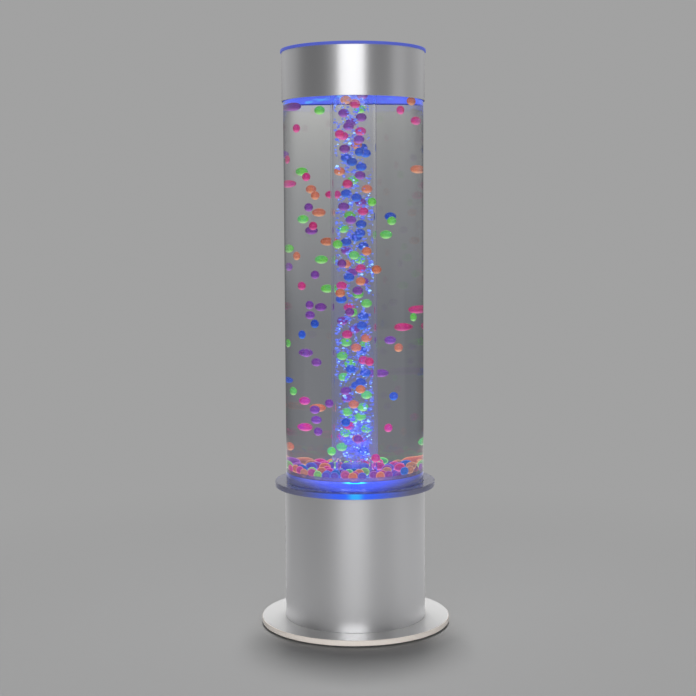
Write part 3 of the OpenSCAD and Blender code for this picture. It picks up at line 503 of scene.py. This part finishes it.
def bead_finish(name, body, glow, heart, rim):
    """Soft clear-bodied bead with the lamps' light painted on as a glow: a tinted heart in a glassy rim, a
    paler underside, more glow near the floor, and small bright painted glints. In the pile on the floor the
    rims are brighter and the glow takes some teal or red."""
    finish = Finish(name)
    own = finish.node("ShaderNodeNewGeometry", out="Random Per Island")
    up = finish.axes(finish.node("ShaderNodeNewGeometry", out="Normal"))[2]
    under = 1 - up.rise(-0.95, -0.15)
    low = 1 - finish.height().rise(FLOOR_DISC.high, FLOOR_DISC.high + 0.30)
    cloud = finish.noise(130, 2.0)
    pile = 1 - finish.height().rise(FLOOR_DISC.high + 14 * MM, FLOOR_DISC.high + 40 * MM)
    painted_glints = finish.noise(800, 1.0).rise(0.60, 0.70)
    shade = finish.mix(own * 0.5 + cloud * 0.4, body, tuple(c * 0.65 for c in body))
    hearty = 0.35 * low + cloud.rise(0.35, 0.65) * (0.10 + 0.5 * own + 0.25 * low + 0.3 * pile)
    inner = finish.mix(hearty.least(1.0), glow, heart)
    tinge = finish.mix(own.rise(0.35, 0.65), paint(80, 200, 215), paint(240, 95, 120))
    inner = finish.mix(pile * 0.25, inner, tinge)
    inner = finish.mix(under * 0.85, inner, rim)
    # Strength of the painted glow: more near the floor, on the underside and in the painted glints.
    level = 0.24 + 0.24 * low + 0.18 * own + 0.34 * under + 0.25 * painted_glints
    level = level * (1 - MIRROR_DIM * finish.mirrored())
    inner = finish.scaled(inner, level * (1 - 0.3 * pile))
    core = finish.surface(Base_Color=shade, Roughness=0.12 + 0.1 * cloud, Coat_Weight=0.3,
                          Coat_Roughness=0.05, Emission_Color=inner, Emission_Strength=1.0)
    outer = finish.mix(under.most(pile * 0.8), glow, rim)
    outer = finish.scaled(outer, level * (0.40 + 0.5 * pile + 0.3 * under))
    glass = finish.surface(Base_Color=finish.mix(0.35, shade, (1.0, 1.0, 1.0)), Roughness=0.0, IOR=BEAD_IOR,
                           Transmission_Weight=1.0, Emission_Color=outer, Emission_Strength=1.0)
    edge = finish.node("ShaderNodeLayerWeight", sockets={"Blend": 0.42}, out="Facing")
    return finish.done(finish.blend_shaders(edge.rise(0.10, 0.85) * 0.85, core, glass))


def head_finish():
    """The bubble head's clear blue plastic, with the light from below painted on as a blue glow."""
    finish = Finish("bubble_head_blue")
    cloud = finish.noise(150, 2.0)
    glow = finish.mix(cloud, paint(52, 54, 170), paint(74, 84, 225))
    shade = finish.mix(cloud, (0.10, 0.11, 0.45), (0.16, 0.2, 0.6))
    return finish.done(finish.surface(Base_Color=shade, Roughness=0.25, Emission_Color=glow,
                                      Emission_Strength=0.5))


def bubble_finish():
    """Air in the lamps' light, painted on: a blue, glowing shell round a clear middle, more solid towards its
    edge, and now and then a painted spark.
    """
    finish = Finish("air_bubble")
    own = finish.node("ShaderNodeNewGeometry", out="Random Per Island")
    low = 1 - finish.height().rise(HEAD.high, HEAD.high + 2.2 * CHURN)
    spark = (own ** 6).rise(0.5, 0.9)
    glow = finish.mix(own, paint(72, 100, 228), paint(112, 142, 246))
    glow = finish.mix(low * 0.8, glow, finish.mix(own, paint(72, 62, 228), paint(98, 100, 248)))
    glow = finish.mix(spark, glow, paint(160, 225, 255))
    light = finish.scaled(glow, (0.54 - 0.06 * low + 0.6 * spark) * (1 - MIRROR_DIM * finish.mirrored()))
    shade = finish.mix(own, paint(80, 95, 200), paint(130, 150, 230))
    painted_glow_shell = finish.surface(Base_Color=shade, Roughness=0.08, Emission_Color=light, Emission_Strength=1.0)
    rim = finish.node("ShaderNodeLayerWeight", sockets={"Blend": 0.35}, out="Facing")
    share = (0.46 - 0.20 * low + 0.60 * rim + 0.5 * spark).least(1.0)
    shader = finish.blend_shaders(share, finish.node("ShaderNodeBsdfTransparent"), painted_glow_shell)
    return finish.done(finish.clear_to_lamps(shader))


# ---- Finishes of rubber, hard plastic and boards ----


def matt(name, colour, roughness, grain=400, depth=0.03, **more):
    """Moulded plastic or rubber with a fine texture."""
    finish = Finish(name)
    pits = finish.noise(grain, 3.0)
    shade = finish.mix(pits, colour, tuple(c * 0.8 for c in colour))
    return finish.done(finish.surface(Base_Color=shade, Roughness=roughness + 0.1 * pits,
                                      Normal=finish.bump(pits, depth * MM, 0.4), **more))


def seal_silicone():
    """The grey, half clear silicone round the floor, with a little of the lamps' violet light painted on it
    as a glow.
    """
    finish = Finish("seal_rubber")
    x, y, _ = finish.axes()
    cloud = finish.noise(120, 2.0)
    blue = 1 - from_side(x, y).rise(30 * MM, 85 * MM)
    glow = finish.mix(cloud, paint(44, 38, 66), paint(34, 30, 52))
    glow = finish.mix(0.8 * blue, glow, paint(88, 76, 190))
    shade = finish.mix(cloud, paint(136, 126, 160), paint(116, 106, 142))
    body = finish.surface(Base_Color=shade, Roughness=0.5, Emission_Color=glow, Emission_Strength=1.0)
    clear = finish.node("ShaderNodeBsdfTransparent", sockets={"Color": (0.88, 0.86, 0.96)})
    return finish.done(finish.blend_shaders(0.35 + 0.2 * cloud, clear, body))


def board(name, colour):
    """Circuit board with faint tracks under its lacquer."""
    finish = Finish(name)
    x, y, _ = finish.axes()
    track = ((x * 2400).maths("SINE") * (y * 2100).maths("SINE")) > 0.45
    shade = finish.mix(track * 0.35, colour, tuple(min(1, c * 1.6) for c in colour))
    return finish.done(finish.surface(Base_Color=shade, Roughness=0.3, Coat_Weight=0.4, Coat_Roughness=0.1))


# Each bead's body, its painted glow, the glow's tint in its heart, and the painted light of its rim
# underneath
BEAD_COLOURS = {
    "green": (paint(92, 178, 66), paint(116, 212, 80), paint(74, 196, 176), paint(200, 255, 170)),
    "pink": (paint(180, 32, 100), paint(206, 44, 122), paint(185, 68, 210), paint(250, 140, 195)),
    "blue": (paint(20, 64, 165), paint(28, 86, 208), paint(60, 100, 240), paint(80, 150, 250)),
    "purple": (paint(104, 42, 128), paint(130, 58, 160), paint(110, 82, 222), paint(205, 140, 225)),
    "orange": (paint(186, 98, 66), paint(208, 122, 88), paint(190, 125, 145), paint(250, 195, 150)),
}


def all_finishes():
    """A finish for each of the record's slots."""
    made = {
        "clear_plastic": clear_plastic(),
        "plinth_acrylic": flange_acrylic(),
        "lid_acrylic": lid_acrylic(),
        "satin_metal": satin_metal(),
        "white_acrylic": white_acrylic(),
        "black_rubber": matt("black_rubber", (0.035, 0.035, 0.037), 0.6),
        "seal_rubber": seal_silicone(),
        "steel": steel(),
        "plain_aluminium": plain_aluminium(),
        "brass": brass(),
        "grey_plastic": matt("grey_plastic", (0.22, 0.23, 0.25), 0.4),
        "white_plastic": matt("white_plastic", (0.75, 0.75, 0.73), 0.35),
        "dark_plastic": matt("dark_plastic", (0.07, 0.07, 0.08), 0.4),
        "black_plastic": matt("black_plastic", (0.03, 0.03, 0.032), 0.35),
        "hose_plastic": matt("hose_plastic", (0.62, 0.66, 0.68), 0.2, depth=0.01),
        "green_board": board("green_board", (0.02, 0.16, 0.06)),
        "white_board": board("white_board", (0.70, 0.70, 0.68)),
        "lamp_yellow": lamp_yellow(),
        "lens_plastic": lens_plastic(),
        "lead_sheath": matt("lead_sheath", (0.05, 0.05, 0.055), 0.5),
    }
    for colour, shades in BEAD_COLOURS.items():
        made[colour + "_bead"] = bead_finish(colour + "_bead", *shades)
    return made


def slots_by_node():
    """Which of the record's slots each CAD node has."""
    return {part["node"]: part["material_slot"] for part in frame["record"]["subparts"]}


# ---- Meshes ----


def add_piece(name, points, faces, finish, body):
    """A smooth piece that rides on a body."""
    mesh = bpy.data.meshes.new(name)
    mesh.from_pydata(points, [], faces)
    mesh.materials.append(finish)
    mesh.shade_smooth()
    thing = bpy.data.objects.new(name, mesh)
    bpy.context.scene.collection.objects.link(thing)
    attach(thing, body)
    return thing


def turned(name, outline, finish, body):
    """A closed round body from its outline: (radius, height) points that go round it once, anticlockwise.
    Its corners stay sharp."""
    points, faces = [], []
    count = len(outline)
    for step in range(ROUND_STEPS):
        angle = math.tau * step / ROUND_STEPS
        points += [(r * math.cos(angle), r * math.sin(angle), z) for r, z in outline]
    for step in range(ROUND_STEPS):
        here, there = step * count, (step + 1) % ROUND_STEPS * count
        for k in range(count):
            after = (k + 1) % count
            faces.append((here + k, there + k, there + after, here + after))
    thing = add_piece(name, points, faces, finish, body)
    close_on_axis(thing.data)
    thing.data.set_sharp_from_angle(angle=math.radians(30))
    return thing


def close_on_axis(mesh):
    """Joins the points that lie on each other on the axis."""
    shape = bmesh.new()
    shape.from_mesh(mesh)
    bmesh.ops.remove_doubles(shape, verts=shape.verts, dist=0.01 * MM)
    shape.to_mesh(mesh)
    shape.free()


def chamfered(inner, outer, low, high, cut):
    """Outline of a ring or tube whose outer corners are broken."""
    outside = [(outer - cut, low), (outer, low + cut), (outer, high - cut), (outer - cut, high)]
    return [(inner, low), *outside, (inner, high)]


def solid_outline(outer, low, high, hole):
    """Outline of a disc with a small hole on its axis."""
    return [(hole, low), (outer, low), (outer, high), (hole, high)]


def ball(rings, steps):
    """Points and faces of a round ball of radius 1."""
    points = [(0.0, 0.0, -1.0)]
    for ring in range(1, rings):
        tilt = math.pi * ring / rings
        for step in range(steps):
            turn = math.tau * step / steps
            points.append((math.sin(tilt) * math.cos(turn), math.sin(tilt) * math.sin(turn), -math.cos(tilt)))
    points.append((0.0, 0.0, 1.0))
    last = len(points) - 1
    faces = [(0, 1 + (s + 1) % steps, 1 + s) for s in range(steps)]
    for ring in range(rings - 2):
        row = 1 + ring * steps
        for s in range(steps):
            after = (s + 1) % steps
            faces.append((row + s, row + after, row + steps + after, row + steps + s))
    top = last - steps
    faces += [(top + s, top + (s + 1) % steps, last) for s in range(steps)]
    return points, faces


def bead_surfaces():
    """All the beads' faces, to measure how far a place is from them."""
    points, faces = [], []
    for node in BEAD_NODES:
        mesh, start = frame["nodes"][node].data, len(points)
        points += [v.co.copy() for v in mesh.vertices]
        faces += [[start + v for v in face.vertices] for face in mesh.polygons]
    return BVHTree.FromPolygons(points, faces)


def clear_of_beads(beads, place, radius):
    near, normal, _, distance = beads.find_nearest(place)
    return distance > radius + BUBBLE_CLEAR and (place - near).dot(normal) > 0


def bubble_string(draw, low, high):
    """A string of bubbles that rise one behind another, swaying. Near the head they are thickest."""
    if draw.random() < CHURN_SHARE:
        start = low + CHURN * draw.random() ** 1.2
    else:
        start = low + (high - low) * draw.random()
    spread = min(1.0, 0.80 + (start - low) / (3 * CHURN))
    reach, turn = RISER.inner * spread * draw.random() ** 0.5, draw.uniform(0, math.tau)
    places = []
    for step in range(draw.randint(STRING_SHORTEST, STRING_LONGEST)):
        radius = BUBBLE_SMALL + (BUBBLE_LARGE - BUBBLE_SMALL) * draw.random() ** 2.2
        reach = min(abs(reach + draw.gauss(0, SWAY)), RISER.inner * spread - radius - BUBBLE_CLEAR)
        turn += draw.gauss(0, SWIRL)
        height = min(start + step * BUBBLE_STEP * draw.uniform(0.6, 1.3), high)
        places.append((Vector((reach * math.cos(turn), reach * math.sin(turn), height)), radius))
    return places


def bubble_places():
    """Places, radii, flatness and lean of the bubbles in the riser."""
    draw = random.Random(BUBBLE_SEED)
    beads = bead_surfaces()
    kept = []
    while len(kept) < BUBBLE_COUNT:
        for place, radius in bubble_string(draw, HEAD.high + 3 * MM, WATER_TOP - 4 * MM):
            if clear_of_beads(beads, place, radius):
                kept.append((place, radius, draw.uniform(0.6, 0.95), draw.uniform(-0.5, 0.5)))
    return kept


def air_bubbles():
    """The rising air: flattened bubbles, each tilted a little."""
    shape, shape_faces = ball(BALL_RINGS, BALL_STEPS)
    points, faces = [], []
    for place, radius, flat, lean in bubble_places():
        start = len(points)
        turn = Matrix.Rotation(lean, 3, "X")
        points += [place + turn @ Vector((x * radius, y * radius, z * radius * flat)) for x, y, z in shape]
        faces += [tuple(start + k for k in face) for face in shape_faces]
    add_piece("air_bubbles", points, faces, bubble_finish(), "stand")


# ---- The pieces that stand for or fill the CAD's ----


def dress_nodes(finishes):
    """Gives every CAD node its finish. A finish listed under slot:node is for that node alone."""
    slots = slots_by_node()
    finishes["satin_metal:cap_sleeve"] = cap_metal()
    finishes["clear_plastic:riser_tube"] = riser_plastic()
    finishes["brass:air_inlet"] = lit_brass()
    finishes[slots["bubble_head"] + ":bubble_head"] = head_finish()
    in_water = clear_plastic("clear_plastic_wet", RISER_IOR)
    finishes["clear_plastic:riser_foot"] = finishes["clear_plastic:riser_spider"] = in_water
    for node, thing in frame["nodes"].items():
        own = finishes.get(f"{slots[node]}:{node}") or finishes[slots[node]]
        for place in thing.material_slots:
            place.material = own


def clear_column(finishes):
    """The tube, finer than its solid, so that its refraction has no flats."""
    outline = chamfered(TUBE.inner, TUBE.outer, TUBE.low - WELD, TUBE.high, 0.6 * MM)
    thing = turned("clear_column", outline, finishes["clear_plastic"], "stand")
    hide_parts("water_column")


def lit_floor():
    """The thick floor sheet, glued into the tube, with a film of air under it."""
    underside = FLOOR_DISC.low + 0.2 * MM
    glow = lit_acrylic("floor_acrylic", underside, 1.35, (0.80, 0.81, 0.93))
    outline = solid_outline(TUBE.inner + WELD, underside, FLOOR_DISC.high, FLOOR_DISC.inner)
    thing = turned("lit_floor", outline, glow, "stand")
    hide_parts("floor_disc")


def water_body():
    """The water, up to its level under the cap, with a curved edge where it climbs the wall."""
    wall, climb = TUBE.inner + WELD, 2.0 * MM
    curve = [(wall - climb * (1 - math.sin(a)), WATER_TOP + climb * (1 - math.cos(a)))
             for a in (math.radians(d) for d in (90, 70, 50, 30, 10))]
    outline = [(0.0, FLOOR_DISC.high - WELD), (wall, FLOOR_DISC.high - WELD), *curve, (0.0, WATER_TOP)]
    turned("water_body", outline, water(), "stand")


# ---- Studio ----


def studio_floor():
    """Round floor. Near the lamp it is lit and takes its shadow, and far off it is the backdrop's grey. Metal
    and clear pieces see painted greys on its far part instead.
    """
    finish = Finish("studio_floor")
    x, y, _ = finish.axes()
    cloud = finish.noise(2.0, 2.0)
    grey = finish.mix(cloud, (FLOOR_GREY,) * 3, (FLOOR_GREY * 0.98,) * 3)
    lit = finish.surface(Base_Color=grey, Roughness=0.9)
    through, mirrored = finish.ray("Transmission"), finish.ray("Glossy")
    # What metal sees of the floor: painted reflection greys, lighter to the right, with a pale panel behind
    # and a dark far back.
    in_metal = finish.mix(x.rise(-0.8, 0.8), (MIRROR_FLOOR_LEFT,) * 3, (MIRROR_FLOOR_RIGHT,) * 3)
    in_metal = finish.mix(facing(x, y, 180, 55), in_metal, (MIRROR_PANEL,) * 3)
    in_metal = finish.mix(y.rise(-0.3, 0.3) * finish.radius().rise(1.5, 2.0), in_metal, (MIRROR_BACK,) * 3)
    reach = finish.radius().most(0.01)
    plain = finish.mix(mirrored, (BACKDROP,) * 3, in_metal)
    plain = finish.mix(through, plain, painted_glass_greys(finish, x / reach, y / reach, 0.0))
    shown = finish.node("ShaderNodeEmission", sockets={"Color": plain})
    far = finish.radius().rise(FLOOR_NEAR, FLOOR_FAR) * finish.ray("Camera").most(through)
    far = far.most(finish.radius().rise(0.13, 0.22) * mirrored)
    turns = [math.tau * k / FLOOR_STEPS for k in range(FLOOR_STEPS)]
    rim = [(FLOOR_RADIUS * math.cos(turn), FLOOR_RADIUS * math.sin(turn), 0.0) for turn in turns]
    mesh = bpy.data.meshes.new("studio_floor")
    mesh.from_pydata(rim, [], [tuple(range(FLOOR_STEPS))])
    mesh.materials.append(finish.done(finish.blend_shaders(far, lit, shown)))
    thing = bpy.data.objects.new("studio_floor", mesh)
    bpy.context.scene.collection.objects.link(thing)


def facing(x, y, azimuth, wide):
    """1 where a level way, x and y, points to that azimuth, falling to 0 at wide degrees off it."""
    turn = math.radians(azimuth)
    along = (x * -math.sin(turn) + y * -math.cos(turn)) / (x * x + y * y + 1e-6) ** 0.5
    return along.rise(math.cos(math.radians(wide)), math.cos(math.radians(wide * 0.25)))


def painted_mirror_room(finish, x, y, z):
    """Painted reflections, which only metal and gloss show: a grey room, two dark flags, a dark far side and
    a pale panel over it.
    """
    flags = facing(x, y, *LEFT_FLAG).most(facing(x, y, *RIGHT_FLAG))
    room = finish.mix(flags, (MIRROR_SIDE,) * 3, (MIRROR_FLAG,) * 3)
    room = finish.mix(facing(x, y, 180, 40) * (1 - z.rise(0.07, 0.095)), room, (MIRROR_BACK,) * 3)
    room = finish.mix(y.rise(-0.05, 0.05) * (1 - z.rise(FLOOR_LINE, -0.02)), room, (MIRROR_BACK,) * 3)
    panel = facing(x, y, 180, 80) * z.rise(0.085, 0.115) * (1 - z.rise(0.55, 0.75))
    return finish.mix(panel, room, (MIRROR_PANEL,) * 3)


def painted_glass_greys(finish, side, ahead, lift):
    """Painted light and shade that clear pieces show: a lighter left half, darker low down, and dark edges.
    Side and ahead are the two parts of the level way from the lamp, and lift goes from 0 at the floor to 1
    high up."""
    half = side.rise(-0.35, 0.30)
    shown = finish.mix(lift, finish.mix(half, LOW_RIGHT, LOW_LEFT), finish.mix(half, HIGH_RIGHT, HIGH_LEFT))
    edge = side.maths("ABSOLUTE").rise(0.45, 0.85) * ahead.rise(0.0, 0.25)
    return finish.mix(edge * (0.35 + 0.65 * lift), shown, THROUGH_EDGE)


def studio_world():
    """An even grey to the camera, painted reflection greys for metal, and painted light and shade for what is
    clear.
    """
    world = bpy.data.worlds.new("studio")
    bpy.context.scene.world = world
    finish = Finish("studio", world)
    x, y, z = finish.axes(finish.node("ShaderNodeTexCoord", out="Generated"))
    grey = finish.mix(finish.ray("Camera"), (AMBIENT,) * 3, (BACKDROP,) * 3)
    grey = finish.mix(finish.ray("Glossy"), grey, painted_mirror_room(finish, x, y, z))
    rise = ((z - FLOOR_LINE) * LIFT_RATE).most(0.0).least(1.0)
    lift = 0.65 * rise + 0.35 * rise ** 6
    grey = finish.mix(finish.ray("Transmission"), grey, painted_glass_greys(finish, x, y, lift))
    finish.done(finish.node("ShaderNodeBackground", sockets={"Color": grey, "Strength": 1.0}), "World")


def soft_lamp(name, place, aim, wide, tall, radiance, on_gloss=True, on_matt=True):
    """A flat soft light at place, turned to aim. Radiance is how bright its face is, where 1 is white."""
    light = bpy.data.lights.new(name, "AREA")
    light.shape, light.size, light.size_y = "RECTANGLE", wide, tall
    light.energy = radiance * math.pi * wide * tall
    thing = bpy.data.objects.new(name, light)
    bpy.context.scene.collection.objects.link(thing)
    thing.location = place
    thing.rotation_euler = (Vector(aim) - Vector(place)).to_track_quat("-Z", "Y").to_euler()
    thing.visible_camera = False
    thing.visible_transmission = False
    thing.visible_glossy = on_gloss
    thing.visible_diffuse = on_matt


def around(azimuth, distance, height):
    """A place round the lamp. Azimuth 0 is where the camera is, and a plus turns to its left."""
    turn = math.radians(azimuth)
    return (-distance * math.sin(turn), -distance * math.cos(turn), height)


def studio_lamps():
    """The key is seen in gloss only. The front and the overhead lamps light what is matt."""
    key, front, overhead = around(2.5, 8.0, 4.25), (0.0, -4.0, 0.4), (0.0, 0.42, 4.0)
    soft_lamp("key", key, (0.0, 0.0, 4.25), wide=6.0, tall=5.6, radiance=2.3, on_matt=False)
    soft_lamp("front", front, (0.0, 0.0, 0.4), wide=6.5, tall=0.7, radiance=10.0, on_gloss=False)
    soft_lamp("overhead", overhead, (0.0, 0.0, 0.0), wide=0.3, tall=0.5, radiance=255.0, on_gloss=False)


def studio_camera():
    data = bpy.data.cameras.new("camera")
    data.lens, data.sensor_width = LENS, SENSOR
    thing = bpy.data.objects.new("camera", data)
    bpy.context.scene.collection.objects.link(thing)
    level = Matrix.Rotation(CAMERA_TURN, 4, "Z") @ Matrix.Rotation(math.radians(90) - CAMERA_DROP, 4, "X")
    roll = Matrix.Rotation(CAMERA_ROLL, 4, "Z")
    thing.matrix_world = Matrix.Translation(CAMERA_PLACE) @ level @ roll
    bpy.context.scene.camera = thing


def light_bounces():
    """Enough turns for light to pass through tube, water, riser and bubbles and out again."""
    cycles = bpy.context.scene.cycles
    cycles.max_bounces = 32
    cycles.transmission_bounces = 32
    cycles.transparent_max_bounces = 48
    cycles.glossy_bounces = 12
    cycles.diffuse_bounces = 4


finishes = all_finishes()
dress_nodes(finishes)
clear_column(finishes)
lit_floor()
water_body()
air_bubbles()
studio_floor()
studio_world()
studio_lamps()
studio_camera()
light_bounces()

bpy.context.scene.view_settings.view_transform = "Standard"
